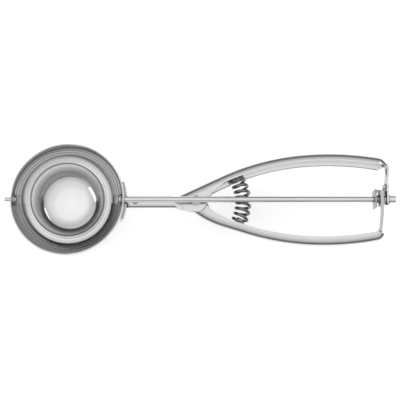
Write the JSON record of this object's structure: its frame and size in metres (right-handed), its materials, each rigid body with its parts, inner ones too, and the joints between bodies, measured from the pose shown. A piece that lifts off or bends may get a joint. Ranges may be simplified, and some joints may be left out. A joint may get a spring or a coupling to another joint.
{
  "type": "ice cream scoop",
  "caption": "Lever ice cream scoop: a round steel bowl on a shank, two sprung handles, and a wiper blade swept round the bowl by a rack and pinion when the handles are squeezed",
  "frame": {"origin": "on the bottom plane, under the middle of the scoop's length, in the plane of the rod", "axes": "+X from the bowl to the handles' tails along the rod, +Y towards the fixed handle, +Z out of the bowl's mouth"},
  "size_m": [0.2096, 0.061, 0.037],
  "materials": {
    "polished_sheet": "polished stainless sheet",
    "bent_plate": "fine brushed stainless plate",
    "turned_steel": "polished turned stainless bar",
    "rivet_steel": "peened steel",
    "spring_wire": "drawn spring wire"
  },
  "bodies": {
    "frame": {"bowl": "polished_sheet", "saddle_plate": "polished_sheet", "shank_rivet": "rivet_steel", "fixed_handle": "polished_sheet", "pivot_rivet": "rivet_steel", "pivot_washer": "bent_plate", "pivot_sleeve": "turned_steel", "guide_bracket": "bent_plate", "bracket_rivets": "rivet_steel", "return_spring": "spring_wire"},
    "lever": {"lever_handle": "polished_sheet", "rack": "bent_plate", "rack_rivets": "rivet_steel"},
    "wiper": {"wiper_blade": "bent_plate", "front_pin": "turned_steel", "rod": "turned_steel", "pinion": "turned_steel", "pinion_pin": "rivet_steel", "end_washer": "bent_plate", "end_nut": "turned_steel"}
  },
  "joints": [
    {"name": "lever_squeeze", "type": "hinge", "parent": "frame", "child": "lever", "pos_m": [-0.00137, 0, 0.0211], "axis": [-0.0949, 0, 0.9955], "range_deg": [0, 5.56], "stiffness_Nm_per_rad": 5, "springref_deg": -5.73, "deforming": ["return_spring"]},
    {"name": "wiper_turn", "type": "hinge", "parent": "frame", "child": "wiper", "pos_m": [-0.00207, 0, 0.0305], "axis": [1, 0, 0], "range_deg": [-172, 0]}
  ],
  "couplings": [
    {"joint": "wiper_turn", "follows": "lever_squeeze", "ratio": -30.938}
  ]
}
